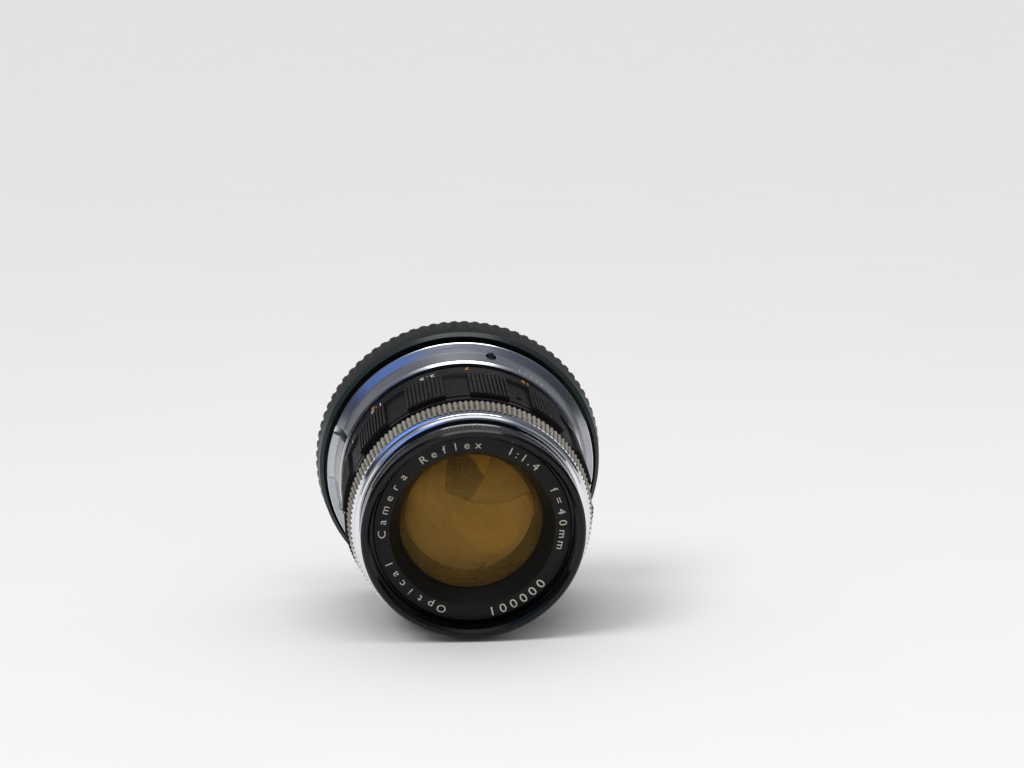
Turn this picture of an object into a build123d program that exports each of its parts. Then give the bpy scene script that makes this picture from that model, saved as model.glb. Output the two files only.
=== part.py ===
"""Manual-focus 40 mm f/1.4 prime lens for a small bayonet-mount reflex camera, with its rear cap.

Frame: the optical axis is Y, the front of the lens faces -Y and +Z is the top. The origin is on
the optical axis, in the flange face that seats on the camera. Lengths are millimetres.
Angles around the axis are counter-clockwise as seen from the front, from +X, unless they are
named clock, which means clockwise from the top as seen from the front.
"""

from math import atan2, cos, degrees, hypot, radians, sin, sqrt
import os

from build123d import *

os.makedirs("parts", exist_ok=True)

# ---------------------------------------------------------------- driving dimensions
LENS_LENGTH = 38.0            # front edge of the filter ring to the flange face
FRONT = -LENS_LENGTH

FILTER_THREAD_R = 21.1        # crests of the M43 x 0.75 internal thread
FILTER_THREAD_ROOT_R = 21.5
FILTER_PITCH = 0.75
FILTER_RING_R = 22.96
LIP_R = 23.98                 # polished lip behind the filter ring
NAME_RING_R = 20.3
NAME_RING_BORE_R = 17.0
NAME_RING_DEPTH = 3.4

APERTURE_RING_R = 25.53       # over the knurl, at its rear edge
APERTURE_RING_FRONT_R = 24.9
APERTURE_RING_REAR = -27.3
APERTURE_RING_FRONT = -31.4
KNURL_TEETH = 140
KNURL_DEPTH = 0.42

FOCUS_RING_FRONT = -23.9
FOCUS_PAD_REAR = -11.8
FOCUS_RING_REAR = -5.85
FOCUS_PAD_R = 26.2
FOCUS_VALLEY_R = 25.4
FOCUS_SCALE_R = 25.9
FOCUS_PADS = 12
FOCUS_PAD_SPAN = 19.0         # degrees of each ribbed pad
FOCUS_PAD_RIBS = 10
FIRST_PAD_CLOCK = 9.2         # clock angle of the middle of the first pad
FOCUS_THROW = 170.0           # turn of the focus ring, infinity to 0.35 m
GRUB_SCREW_CLOCKS = (24.2, 144.2, 264.2)
GRUB_SCREW_R = 0.7
GRUB_SCREW_Y = -20.4

BASE_FRONT = -5.54
BASE_EDGE_BEVEL = 0.45
BASE_FRONT_R = 26.4
BASE_STEP_R = 27.3
BASE_REAR_R = 28.9

BAYONET_TUBE_R = 20.6
BAYONET_LUG_R = 22.4
BAYONET_BORE_R = 18.4
BAYONET_REAR = 4.2
BAYONET_LUGS = 3
BAYONET_LUG_SPAN = 50.0

CAP_FRONT = 1.2
CAP_REAR = 8.6
CAP_RIM_R = 30.46
CAP_R = 31.15
CAP_RIBS = 84

RUNNING = 0.05                # radial clearance of a running fit
THREAD_FIT = 0.05             # radial clearance of the focusing helicoid

# Optical elements in order from the front: (front radius, thickness, rear radius, edge radius).
# A radius is positive where its centre lies behind the surface.
FIRST_VERTEX = -33.8
ELEMENT_1 = (29.8, 3.8, 120.0, 15.2)
ELEMENT_2 = (16.5, 4.4, 42.2, 12.6)
ELEMENT_3 = (60.0, 1.4, 13.8, 11.2)
ELEMENT_4 = (-12.6, 1.3, 80.0, 9.6)
ELEMENT_5 = (80.0, 5.3, -20.6, 9.6)
ELEMENT_6 = (-62.0, 3.3, -24.5, 10.8)
ELEMENT_7 = (135.0, 2.6, -120.0, 10.8)
NARROW_GAP = 0.1              # between elements that almost touch
SECOND_GAP = 1.1
IRIS_GAP = 9.2
STOP_CLEAR_REAR_R = 8.6       # clear radius of the concave face in front of the iris
STOP_CLEAR_FRONT_R = 8.2      # clear radius of the concave face behind the iris

# Iris
BLADES = 5
BLADE_PIVOT_R = 15.0
BLADE_INNER_R = 8.7
BLADE_OUTER_R = 14.2
BLADE_START = -4.0
BLADE_END = 130.0
BLADE_THICKNESS = 0.08
BLADE_PITCH = 0.14
BLADE_STACK_FRONT = -19.38
BLADE_FIRST_PIVOT = 77.0      # angle of the first blade's pivot
BLADE_SWING = 30.25           # fully open to f/16
FOLLOWER_X = -0.5             # follower pin from the pivot, across and along the rim
FOLLOWER_Y = -2.2
IRIS_PIN_R = 0.35
IRIS_PIN_HOLE_R = 0.4
IRIS_OPENING_R = 8.7
IRIS_WALL_R = 16.5
CELL_R = 16.85
CAM_FRONT = -18.62
CAM_REAR = -18.14
CAM_BORE_R = 9.2
APERTURE_TURN = 56.0          # aperture ring, f/1.4 to f/16
APERTURE_AT_REST = 48.0       # turned from f/1.4 towards f/16 in the modelled pose
BLADE_RATIO = BLADE_SWING / APERTURE_TURN
BLADE_AT_REST = APERTURE_AT_REST * BLADE_RATIO
FORK_CLOCK = 180.0            # where the aperture fork stands in the modelled pose


# ---------------------------------------------------------------- helpers
def sagitta(radius, height):
    """Depth of a spherical face of the given radius at a height above the axis, signed."""
    depth = abs(radius) - sqrt(radius * radius - height * height)
    return depth if radius > 0 else -depth


def polar(radius, angle):
    """Point at a radius and angle in a plane that faces the front."""
    return (radius * cos(radians(angle)), radius * sin(radians(angle)))


def clock_to_angle(clock):
    return 90.0 - clock


def facing_front(y):
    """Sketch plane across the axis at y, seen from the front with X right and Z up."""
    return Plane.XZ.offset(-y)


def turn(*points, mode=Mode.ADD):
    """Turn a closed half section of (radius, y) points about the optical axis."""
    with BuildSketch(Plane.XY) as half_section:
        with BuildLine():
            Polyline(*points, close=True)
        make_face()
    revolve(half_section.sketch, axis=Axis.Y, mode=mode)


def sector(inner, outer, middle, span, front, rear, mode=Mode.ADD):
    """Piece of a ring between two radii, centred on an angle, from front to rear along Y."""
    start, half, end = middle - span / 2.0, middle, middle + span / 2.0
    with BuildSketch(facing_front(rear)) as profile:
        with BuildLine():
            ThreePointArc(polar(outer, start), polar(outer, half), polar(outer, end))
            Line(polar(outer, end), polar(inner, end))
            ThreePointArc(polar(inner, end), polar(inner, half), polar(inner, start))
            Line(polar(inner, start), polar(outer, start))
        make_face()
    extrude(profile.sketch, amount=rear - front, mode=mode)


def radial_plane(clock, radius, y):
    """Plane whose normal points outward from the axis at a clock angle; its X runs along Y."""
    out = (sin(radians(clock)), 0, cos(radians(clock)))
    origin = (radius * out[0], y, radius * out[2])
    return Plane(origin=origin, x_dir=(0, 1, 0), z_dir=out)


def finish(part, name):
    """Label a finished piece and write it to its own file."""
    part.label = name
    export_step(part, f"parts/{name}.step")


def lens_element(element, vertex, front_flat=None, rear_flat=None):
    """Lens from its prescription; a flat annulus may surround a concave face."""
    front_radius, thickness, rear_radius, edge = element
    front_reach = front_flat or edge
    rear_reach = rear_flat or edge
    rear_vertex = vertex + thickness
    front_edge = vertex + sagitta(front_radius, front_reach)
    rear_edge = rear_vertex + sagitta(rear_radius, rear_reach)
    front_half = (front_reach / 2, vertex + sagitta(front_radius, front_reach / 2))
    rear_half = (rear_reach / 2, rear_vertex + sagitta(rear_radius, rear_reach / 2))
    with BuildSketch(Plane.XY) as half_section:
        with BuildLine():
            ThreePointArc((0, vertex), front_half, (front_reach, front_edge))
            if front_flat:
                Line((front_reach, front_edge), (edge, front_edge))
            Line((edge, front_edge), (edge, rear_edge))
            if rear_flat:
                Line((edge, rear_edge), (rear_reach, rear_edge))
            ThreePointArc((rear_reach, rear_edge), rear_half, (0, rear_vertex))
            Line((0, rear_vertex), (0, vertex))
        make_face()
    revolve(half_section.sketch, axis=Axis.Y)


# ---------------------------------------------------------------- optical elements
VERTEX_2 = FIRST_VERTEX + ELEMENT_1[1] + NARROW_GAP
VERTEX_3 = VERTEX_2 + ELEMENT_2[1] + SECOND_GAP
VERTEX_4 = VERTEX_3 + ELEMENT_3[1] + IRIS_GAP
VERTEX_5 = VERTEX_4 + ELEMENT_4[1]
VERTEX_6 = VERTEX_5 + ELEMENT_5[1] + NARROW_GAP
VERTEX_7 = VERTEX_6 + ELEMENT_6[1] + NARROW_GAP

with BuildPart() as element_1:
    lens_element(ELEMENT_1, FIRST_VERTEX)
finish(element_1.part, "element_1")

with BuildPart() as element_2:
    lens_element(ELEMENT_2, VERTEX_2)
finish(element_2.part, "element_2")

with BuildPart() as element_3:
    lens_element(ELEMENT_3, VERTEX_3, rear_flat=STOP_CLEAR_REAR_R)
finish(element_3.part, "element_3")

with BuildPart() as element_4:
    lens_element(ELEMENT_4, VERTEX_4, front_flat=STOP_CLEAR_FRONT_R)
finish(element_4.part, "element_4")

with BuildPart() as element_5:
    lens_element(ELEMENT_5, VERTEX_5)
finish(element_5.part, "element_5")

with BuildPart() as element_6:
    lens_element(ELEMENT_6, VERTEX_6)
finish(element_6.part, "element_6")

with BuildPart() as element_7:
    lens_element(ELEMENT_7, VERTEX_7)
finish(element_7.part, "element_7")

# ---------------------------------------------------------------- front of the lens block
FORK_MIDDLE = clock_to_angle(FORK_CLOCK) + APERTURE_TURN / 2 - APERTURE_AT_REST
NAME_RING_FACE = FRONT + NAME_RING_DEPTH
GLASS_LIP_R = 14.8
GLASS_LIP_REAR = -29.95

with BuildPart() as filter_ring:
    turn(
        (21.7, FRONT), (22.5, FRONT), (FILTER_RING_R, FRONT + 0.5), (FILTER_RING_R, -33.75),
        (22.62, -33.6), (22.62, -33.05), (22.3, -33.05), (22.3, -31.65), (20.4, -31.65),
        (20.4, -34.3), (21.6, -34.3), (21.6, -34.75), (FILTER_THREAD_R, -34.75),
        (FILTER_THREAD_R, FRONT + 0.6),
    )
    for groove in range(4):
        middle = FRONT + 0.95 + FILTER_PITCH * groove
        turn(
            (FILTER_THREAD_R - 0.1, middle - 0.14), (FILTER_THREAD_ROOT_R, middle - 0.03),
            (FILTER_THREAD_ROOT_R, middle + 0.03), (FILTER_THREAD_R - 0.1, middle + 0.14),
            mode=Mode.SUBTRACT,
        )
    rounded = filter_ring.edges().filter_by(GeomType.CIRCLE).group_by(Axis.Y)[0]
    fillet(rounded, radius=0.18)
finish(filter_ring.part, "filter_ring")

with BuildPart() as lip_ring:
    turn(
        (22.35, -33.0), (23.45, -33.0), (23.75, -32.85), (LIP_R, -32.3), (LIP_R, -31.95),
        (23.85, -31.7), (22.35, -31.7),
    )
finish(lip_ring.part, "lip_ring")

with BuildPart() as name_ring:
    turn(
        (NAME_RING_BORE_R, NAME_RING_FACE), (NAME_RING_R - 0.18, NAME_RING_FACE),
        (NAME_RING_R, NAME_RING_FACE + 0.18), (NAME_RING_R, -33.6), (17.7, -33.6),
        (17.7, -32.4), (16.9, -32.4), (15.7, GLASS_LIP_REAR), (GLASS_LIP_R, GLASS_LIP_REAR),
        (GLASS_LIP_R, GLASS_LIP_REAR - 0.25),
    )
finish(name_ring.part, "name_ring")

with BuildPart() as front_cell:
    turn(
        (17.75, -33.4), (19.6, -33.4), (19.6, -31.6), (18.25, -31.6), (18.25, -29.6),
        (CELL_R, -29.4), (CELL_R, -17.6), (IRIS_WALL_R, -17.6), (IRIS_WALL_R, -19.45),
        (IRIS_OPENING_R, -19.45), (IRIS_OPENING_R, -19.95), (11.25, -19.95), (11.25, -23.55),
        (11.8, -23.55), (12.65, -23.55), (12.65, -25.2), (13.3, -25.2), (13.3, -26.4),
        (14.3, -28.98), (15.25, -28.98), (15.25, -29.85), (15.75, -29.85), (17.0, -32.3),
        (17.75, -32.3),
    )
    # Blade pivots bear in holes through the diaphragm plate.
    with BuildSketch(facing_front(-19.0)):
        with PolarLocations(BLADE_PIVOT_R, BLADES, start_angle=BLADE_FIRST_PIVOT):
            Circle(IRIS_PIN_HOLE_R)
    extrude(amount=1.4, mode=Mode.SUBTRACT)
    # Window in the housing wall for the arm of the cam ring.
    sector(IRIS_WALL_R - 0.3, CELL_R + 0.3, FORK_MIDDLE, APERTURE_TURN + 16.0, -18.7, -17.5,
           mode=Mode.SUBTRACT)
finish(front_cell.part, "front_cell")

with BuildPart() as element_2_retainer:
    turn((11.9, -26.2), (13.25, -26.2), (13.25, -25.25), (12.5, -25.25), (12.5, -24.95), (11.9, -24.95))
finish(element_2_retainer.part, "element_2_retainer")

# ---------------------------------------------------------------- main barrel
BARREL_BORE_R = 18.3
HELICOID_R = 20.25
JOURNAL_R = 22.9
BARREL_FRONT = -31.6
BARREL_SHOULDER = -24.2
BARREL_REAR = -8.0
FORK_SLOT_FRONT = -28.8
FORK_SLOT_REAR = -27.7
FORK_LEG_Y = (FORK_SLOT_FRONT + FORK_SLOT_REAR) / 2
FORK_LEG = 0.7
FORK_WIDTH = 2.0
FORK_INNER_R = 17.1
FORK_OUTER_R = 17.9
FORK_SEAT_DEPTH = 0.3
KEY_CLOCKS = (90.0, 270.0)
KEY_WIDTH = 3.0
CLICK_CLOCK = 0.0
CLICK_Y = -30.2
CLICK_BALL_R = 0.6
CLICK_BALL_AT = 22.5

with BuildPart() as main_barrel:
    turn(
        (BARREL_BORE_R, BARREL_FRONT), (20.35, BARREL_FRONT), (20.35, -31.55), (JOURNAL_R, -31.55),
        (JOURNAL_R, BARREL_SHOULDER - 0.1), (JOURNAL_R - 0.1, BARREL_SHOULDER),
        (HELICOID_R, BARREL_SHOULDER), (HELICOID_R, BARREL_REAR), (BARREL_BORE_R, BARREL_REAR),
    )
    # Threads of the focusing helicoid, as grooves between bearing lands.
    for groove in range(9):
        start = -22.9 + 1.6 * groove
        turn((HELICOID_R + 0.1, start), (19.75, start + 0.3), (19.75, start + 0.6),
             (HELICOID_R + 0.1, start + 0.9), mode=Mode.SUBTRACT)
    # Straight keyways that stop the barrel from turning.
    for clock in KEY_CLOCKS:
        with BuildSketch(radial_plane(clock, 17.0, -12.0)):
            Rectangle(20.0, KEY_WIDTH + 2 * RUNNING)
        extrude(amount=4.0, mode=Mode.SUBTRACT)
    # Slot for the aperture fork.
    sector(BARREL_BORE_R - 0.5, JOURNAL_R + 0.5, FORK_MIDDLE, APERTURE_TURN + 12.0,
           FORK_SLOT_FRONT, FORK_SLOT_REAR, mode=Mode.SUBTRACT)
    # Pocket of the click ball.
    with BuildSketch(radial_plane(CLICK_CLOCK, 19.8, CLICK_Y)):
        Circle(CLICK_BALL_R + RUNNING)
    extrude(amount=4.0, mode=Mode.SUBTRACT)
finish(main_barrel.part, "main_barrel")

with BuildPart() as barrel_ring:
    turn(
        (JOURNAL_R, -27.05), (24.3, -27.05), (24.6, -26.8), (24.6, -25.7), (25.1, -25.6),
        (25.3, -25.3), (25.3, -24.5), (25.1, -24.25), (JOURNAL_R, -24.25),
    )
finish(barrel_ring.part, "barrel_ring")

with BuildPart() as click_ball:
    with BuildSketch(Plane.XY):
        with BuildLine():
            CenterArc((0, 0), CLICK_BALL_R, -90, 180)
            Line((0, CLICK_BALL_R), (0, -CLICK_BALL_R))
        make_face()
    revolve(axis=Axis.Y)
click_ball_placed = Pos(0, CLICK_Y, CLICK_BALL_AT) * click_ball.part
finish(click_ball_placed, "click_ball")

with BuildPart() as click_spring:
    with BuildLine():
        coil = Helix(pitch=0.4, height=1.6, radius=0.4, center=(0, CLICK_Y, 20.05), direction=(0, 0, 1))
    with BuildSketch(Plane(origin=coil @ 0, z_dir=coil % 0)):
        Circle(0.09)
    sweep(is_frenet=True)
finish(click_spring.part, "click_spring")

# ---------------------------------------------------------------- aperture ring
APERTURE_BORE_R = JOURNAL_R + RUNNING
KNURL_FRONT = -31.1


def knurl_outline(tip):
    """Zigzag outline of the knurl with its tips at the given radius."""
    points = []
    for tooth in range(KNURL_TEETH):
        angle = 360.0 * tooth / KNURL_TEETH
        points.append(polar(tip, angle))
        points.append(polar(tip - KNURL_DEPTH, angle + 180.0 / KNURL_TEETH))
    return points


with BuildPart() as aperture_ring:
    with BuildSketch(facing_front(APERTURE_RING_REAR)):
        Polygon(*knurl_outline(APERTURE_RING_R), align=None)
    with BuildSketch(facing_front(KNURL_FRONT)):
        Polygon(*knurl_outline(APERTURE_RING_FRONT_R), align=None)
    loft(ruled=True)
    turn((22.0, KNURL_FRONT), (24.5, KNURL_FRONT), (24.1, APERTURE_RING_FRONT),
         (22.0, APERTURE_RING_FRONT))
    with BuildSketch(facing_front(APERTURE_RING_REAR + 1.0)):
        Circle(APERTURE_BORE_R)
    extrude(amount=8.0, mode=Mode.SUBTRACT)
    # Chamfer that polishes the front ends of the teeth.
    turn((24.05, APERTURE_RING_FRONT - 0.05), (26.5, APERTURE_RING_FRONT - 0.05), (26.5, -30.1),
         (24.95, -31.0), mode=Mode.SUBTRACT)
    turn((25.3, APERTURE_RING_REAR + 0.05), (26.5, APERTURE_RING_REAR + 0.05), (26.5, -28.1),
         (25.6, -27.5), mode=Mode.SUBTRACT)
    # Groove that the click ball runs in, and its detents.
    turn((22.0, CLICK_Y - 0.65), (23.16, CLICK_Y - 0.65), (23.16, CLICK_Y + 0.65),
         (22.0, CLICK_Y + 0.65), mode=Mode.SUBTRACT)
    for stop in range(8):
        clock = CLICK_CLOCK - APERTURE_AT_REST + APERTURE_TURN * stop / 7.0
        with BuildSketch(radial_plane(clock, 22.9, CLICK_Y)):
            Circle(0.5)
        extrude(amount=0.6, taper=30, mode=Mode.SUBTRACT)
    # Seat of the aperture fork.
    with BuildSketch(radial_plane(FORK_CLOCK, 22.0, FORK_LEG_Y)):
        Rectangle(FORK_LEG, FORK_WIDTH)
    extrude(amount=APERTURE_BORE_R + FORK_SEAT_DEPTH - 22.0, mode=Mode.SUBTRACT)
finish(aperture_ring.part, "aperture_ring")


with BuildPart() as aperture_fork:
    # Foot screwed to the ring, leg through the barrel slot and tongue back to the cam ring.
    with BuildSketch(radial_plane(FORK_CLOCK, FORK_INNER_R, FORK_LEG_Y)):
        Rectangle(FORK_LEG, FORK_WIDTH)
    extrude(amount=APERTURE_BORE_R + FORK_SEAT_DEPTH - FORK_INNER_R)
    with BuildSketch(radial_plane(FORK_CLOCK, FORK_INNER_R, -23.2)):
        Rectangle(10.8, FORK_WIDTH)
    extrude(amount=FORK_OUTER_R - FORK_INNER_R)
finish(aperture_fork.part, "aperture_fork")

# ---------------------------------------------------------------- iris
CAM_R = IRIS_WALL_R - RUNNING
CAM_ARM_R = 17.95


def follower_at(swing):
    """Follower pin of the first blade, swung from fully open, in the plane facing the front."""
    turned = radians(swing)
    x = BLADE_PIVOT_R + FOLLOWER_X * cos(turned) - FOLLOWER_Y * sin(turned)
    y = FOLLOWER_X * sin(turned) + FOLLOWER_Y * cos(turned)
    return hypot(x, y), degrees(atan2(y, x)) + BLADE_FIRST_PIVOT


def cam_slot_point(swing, index):
    """A blade's follower pin as seen from the cam ring, which closes the iris turning with it."""
    radius, angle = follower_at(swing)
    turned_since_rest = (swing - BLADE_AT_REST) / BLADE_RATIO
    return polar(radius, angle + 360.0 * index / BLADES - turned_since_rest)


SLOT_STATIONS = 8
SLOT_END_PLAY = 0.6           # degrees of blade swing left beyond each end of the range

with BuildPart() as iris_cam:
    turn((CAM_BORE_R, CAM_FRONT), (CAM_R, CAM_FRONT), (CAM_R, CAM_REAR), (CAM_BORE_R, CAM_REAR))
    arm_angle = clock_to_angle(FORK_CLOCK)
    sector(CAM_R - 0.4, CAM_ARM_R, arm_angle, 14.0, CAM_FRONT, CAM_REAR)
    with BuildSketch(radial_plane(FORK_CLOCK, FORK_INNER_R - 0.1, (CAM_FRONT + CAM_REAR) / 2)):
        Rectangle(1.0, FORK_WIDTH + 0.06)
    extrude(amount=2.0, mode=Mode.SUBTRACT)
    slot_swing = BLADE_SWING + 2 * SLOT_END_PLAY
    swings = [slot_swing * i / SLOT_STATIONS - SLOT_END_PLAY for i in range(SLOT_STATIONS + 1)]
    for slot in range(BLADES):
        with BuildSketch(facing_front(CAM_REAR + 0.1)):
            with BuildLine() as slot_line:
                Spline(*[cam_slot_point(swing, slot) for swing in swings])
            trace(slot_line.line, line_width=2 * IRIS_PIN_HOLE_R)
            with Locations(cam_slot_point(swings[0], slot), cam_slot_point(swings[-1], slot)):
                Circle(IRIS_PIN_HOLE_R)
        extrude(amount=1.0, mode=Mode.SUBTRACT)
finish(iris_cam.part, "iris_cam")


def blade_plane(index, y):
    """Plane on a blade's pivot, turned with the blade; the optical axis is at (-pivot, 0)."""
    angle = BLADE_FIRST_PIVOT + 360.0 * index / BLADES
    x, z = polar(BLADE_PIVOT_R, angle)
    across = polar(1.0, angle + BLADE_AT_REST)
    return Plane(origin=(x, y, z), x_dir=(across[0], 0, across[1]), z_dir=(0, -1, 0))


def from_pivot(radius, angle):
    """Point given about the optical axis, measured from the blade's pivot when fully open."""
    x, y = polar(radius, angle)
    return (x - BLADE_PIVOT_R, y)


for index in range(BLADES):
    blade_front = BLADE_STACK_FRONT + BLADE_PITCH * index
    blade_rear = blade_front + BLADE_THICKNESS
    blade_middle = (BLADE_START + BLADE_END) / 2
    with BuildPart() as iris_blade:
        with BuildSketch(blade_plane(index, blade_rear)):
            with BuildLine():
                ThreePointArc(from_pivot(BLADE_OUTER_R, BLADE_START),
                              from_pivot(BLADE_OUTER_R, blade_middle),
                              from_pivot(BLADE_OUTER_R, BLADE_END))
                Line(from_pivot(BLADE_OUTER_R, BLADE_END), from_pivot(BLADE_INNER_R, BLADE_END))
                ThreePointArc(from_pivot(BLADE_INNER_R, BLADE_END),
                              from_pivot(BLADE_INNER_R, blade_middle),
                              from_pivot(BLADE_INNER_R, BLADE_START))
                Line(from_pivot(BLADE_INNER_R, BLADE_START), from_pivot(BLADE_OUTER_R, BLADE_START))
            make_face()
            with BuildLine():
                Polyline((-1.6, 1.0), (0.55, 0.5), (0.3, -2.4), (-1.2, -2.7), (-2.6, -1.4), close=True)
            make_face()
            Circle(0.75)
            with Locations((FOLLOWER_X, FOLLOWER_Y)):
                Circle(0.75)
        extrude(amount=BLADE_THICKNESS)
        with BuildSketch(blade_plane(index, blade_rear)):
            Circle(IRIS_PIN_R)
        extrude(amount=blade_rear + 19.95)
        with BuildSketch(blade_plane(index, CAM_REAR)):
            with Locations((FOLLOWER_X, FOLLOWER_Y)):
                Circle(IRIS_PIN_R)
        extrude(amount=CAM_REAR - blade_front)
    finish(iris_blade.part, f"iris_blade_{index + 1}")

with BuildPart() as iris_retainer:
    turn((9.4, -18.04), (IRIS_WALL_R, -18.04), (IRIS_WALL_R, -17.66), (9.4, -17.66))
finish(iris_retainer.part, "iris_retainer")

# ---------------------------------------------------------------- rear cell
with BuildPart() as rear_cell:
    turn(
        (9.65, -17.4), (BARREL_BORE_R, -17.4), (BARREL_BORE_R, -15.4), (17.0, -15.2), (17.0, -5.2),
        (14.6, -3.6), (14.6, -0.9), (10.85, -0.9), (10.85, -8.1), (9.0, -8.1), (9.0, -9.2),
        (9.65, -9.2),
    )
finish(rear_cell.part, "rear_cell")

with BuildPart() as doublet_retainer:
    turn((8.3, -17.35), (9.65, -17.35), (9.65, -16.88), (8.3, -16.88))
finish(doublet_retainer.part, "doublet_retainer")

with BuildPart() as rear_spacer:
    turn((9.9, -5.8), (10.8, -5.8), (10.8, -3.4), (9.9, -3.4))
finish(rear_spacer.part, "rear_spacer")

with BuildPart() as rear_retainer:
    turn((9.9, -1.45), (10.85, -1.45), (10.85, -0.9), (10.3, -0.9))
finish(rear_retainer.part, "rear_retainer")

# ---------------------------------------------------------------- focusing
NUT_BORE_R = HELICOID_R + THREAD_FIT
NUT_R = 22.3
NUT_FLANGE_R = 23.4
NUT_FRONT = -23.6
NUT_FLANGE_REAR = -17.6
NUT_REAR = -6.2
SLEEVE_BORE_R = 22.5
SLEEVE_R = 23.9
SLEEVE_FRONT = -16.6
SLEEVE_REAR = -3.6


def ribbed_outline():
    """Outline of the grip: ribbed pads that stand proud of smooth sections."""
    points = []
    pitch = 360.0 / FOCUS_PADS
    rib = FOCUS_PAD_SPAN / FOCUS_PAD_RIBS
    groove_r = FOCUS_PAD_R - 0.38
    for pad in range(FOCUS_PADS):
        start = clock_to_angle(FIRST_PAD_CLOCK) + pad * pitch - FOCUS_PAD_SPAN / 2
        points.append(polar(FOCUS_VALLEY_R, start))
        for number in range(FOCUS_PAD_RIBS):
            crest = start + rib * number
            points.append(polar(FOCUS_PAD_R - 0.05, crest + 0.12 * rib))
            points.append(polar(FOCUS_PAD_R, crest + 0.36 * rib))
            points.append(polar(FOCUS_PAD_R - 0.05, crest + 0.60 * rib))
            if number < FOCUS_PAD_RIBS - 1:
                points.append(polar(groove_r, crest + 0.74 * rib))
                points.append(polar(groove_r, crest + 0.98 * rib))
        end = start + FOCUS_PAD_SPAN
        points.append(polar(FOCUS_VALLEY_R, end - 0.25 * rib))
        for step in range(1, 4):
            points.append(polar(FOCUS_VALLEY_R, end + (pitch - FOCUS_PAD_SPAN) * step / 4))
    return points


with BuildPart() as focus_ring:
    with BuildSketch(facing_front(FOCUS_PAD_REAR)):
        Polygon(*ribbed_outline(), align=None)
    extrude(amount=FOCUS_PAD_REAR - FOCUS_RING_FRONT)
    turn(
        (22.0, FOCUS_PAD_REAR - 0.2), (25.3, FOCUS_PAD_REAR - 0.2), (FOCUS_SCALE_R, FOCUS_PAD_REAR + 0.3),
        (FOCUS_SCALE_R, -7.8), (25.6, -7.5), (25.2, -7.4), (25.2, FOCUS_RING_REAR),
        (22.0, FOCUS_RING_REAR),
    )
    # Bore: seat of the helicoid nut, groove of the retaining ring and bearing.
    turn(
        (0, -25.0), (NUT_FLANGE_R, -25.0), (NUT_FLANGE_R, NUT_FLANGE_REAR), (24.8, NUT_FLANGE_REAR),
        (24.8, -16.3), (SLEEVE_R + RUNNING, -16.3), (SLEEVE_R + RUNNING, -5.0), (0, -5.0),
        mode=Mode.SUBTRACT,
    )
    # Relief of the front edge.
    turn((25.9, FOCUS_RING_FRONT - 0.1), (26.6, FOCUS_RING_FRONT - 0.1), (26.6, FOCUS_RING_FRONT + 0.6),
         mode=Mode.SUBTRACT)
    # Tapped holes of the three grub screws.
    for clock in GRUB_SCREW_CLOCKS:
        with BuildSketch(radial_plane(clock, 23.0, GRUB_SCREW_Y)):
            Circle(GRUB_SCREW_R)
        extrude(amount=4.0, mode=Mode.SUBTRACT)
finish(focus_ring.part, "focus_ring")

with BuildPart() as focus_grub_screws:
    for clock in GRUB_SCREW_CLOCKS:
        with BuildSketch(radial_plane(clock, NUT_FLANGE_R, GRUB_SCREW_Y)):
            Circle(GRUB_SCREW_R)
        extrude(amount=1.4)
        with BuildSketch(radial_plane(clock, NUT_FLANGE_R + 1.0, GRUB_SCREW_Y)):
            Rectangle(0.2, 1.6)
        extrude(amount=1.0, mode=Mode.SUBTRACT)
finish(focus_grub_screws.part, "focus_grub_screws")

with BuildPart() as helicoid_nut:
    turn(
        (NUT_BORE_R, NUT_FRONT), (NUT_FLANGE_R, NUT_FRONT), (NUT_FLANGE_R, NUT_FLANGE_REAR),
        (NUT_R, NUT_FLANGE_REAR), (NUT_R, NUT_REAR), (NUT_BORE_R, NUT_REAR),
    )
finish(helicoid_nut.part, "helicoid_nut")

STOP_PIN_WIDTH = 1.6
STOP_PIN_INNER_R = 20.7

with BuildPart() as focus_stop_pin:
    # Pin on the nut's rear end that meets the stop block at either end of the throw.
    with BuildSketch(radial_plane(0.0, STOP_PIN_INNER_R, NUT_REAR + 0.6)):
        Rectangle(1.2, STOP_PIN_WIDTH)
    extrude(amount=1.4)
finish(focus_stop_pin.part, "focus_stop_pin")

# ---------------------------------------------------------------- fixed base
BASE_BORE_R = 21.0
BASE_SCREW_CLOCKS = (13.0, 133.0, 253.0)
BASE_SCREW_Y = -2.6
LEVER_CLOCK = -82.0
LEVER_SPAN = 20.0
LEVER_TRAVEL = 3.0
LEVER_FRONT = -5.0
LEVER_REAR = -0.35
LEVER_INNER_R = 25.1

with BuildPart() as base_ring:
    turn(
        (BASE_BORE_R, -1.25), (24.55, -1.25), (24.55, 0), (28.6, 0), (BASE_REAR_R, -0.2),
        (BASE_REAR_R, -0.45), (28.75, -0.6), (BASE_STEP_R, -1.7),
        (BASE_FRONT_R, BASE_FRONT + BASE_EDGE_BEVEL), (BASE_FRONT_R - BASE_EDGE_BEVEL, BASE_FRONT),
        (24.4, BASE_FRONT), (24.4, SLEEVE_REAR), (BASE_BORE_R, SLEEVE_REAR),
    )
    # Recesses over the base screws.
    for clock in BASE_SCREW_CLOCKS:
        with BuildSketch(radial_plane(clock, 24.6, BASE_SCREW_Y)):
            Circle(1.15)
        extrude(amount=5.0, mode=Mode.SUBTRACT)
    # Opening for the preview lever with room for its travel.
    opening_span = LEVER_SPAN + LEVER_TRAVEL + 0.8
    opening_clock = LEVER_CLOCK + LEVER_TRAVEL / 2
    sector(LEVER_INNER_R - 0.1, 30.0, clock_to_angle(opening_clock), opening_span,
           LEVER_FRONT - 0.1, LEVER_REAR + 0.1, mode=Mode.SUBTRACT)
finish(base_ring.part, "base_ring")

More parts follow.
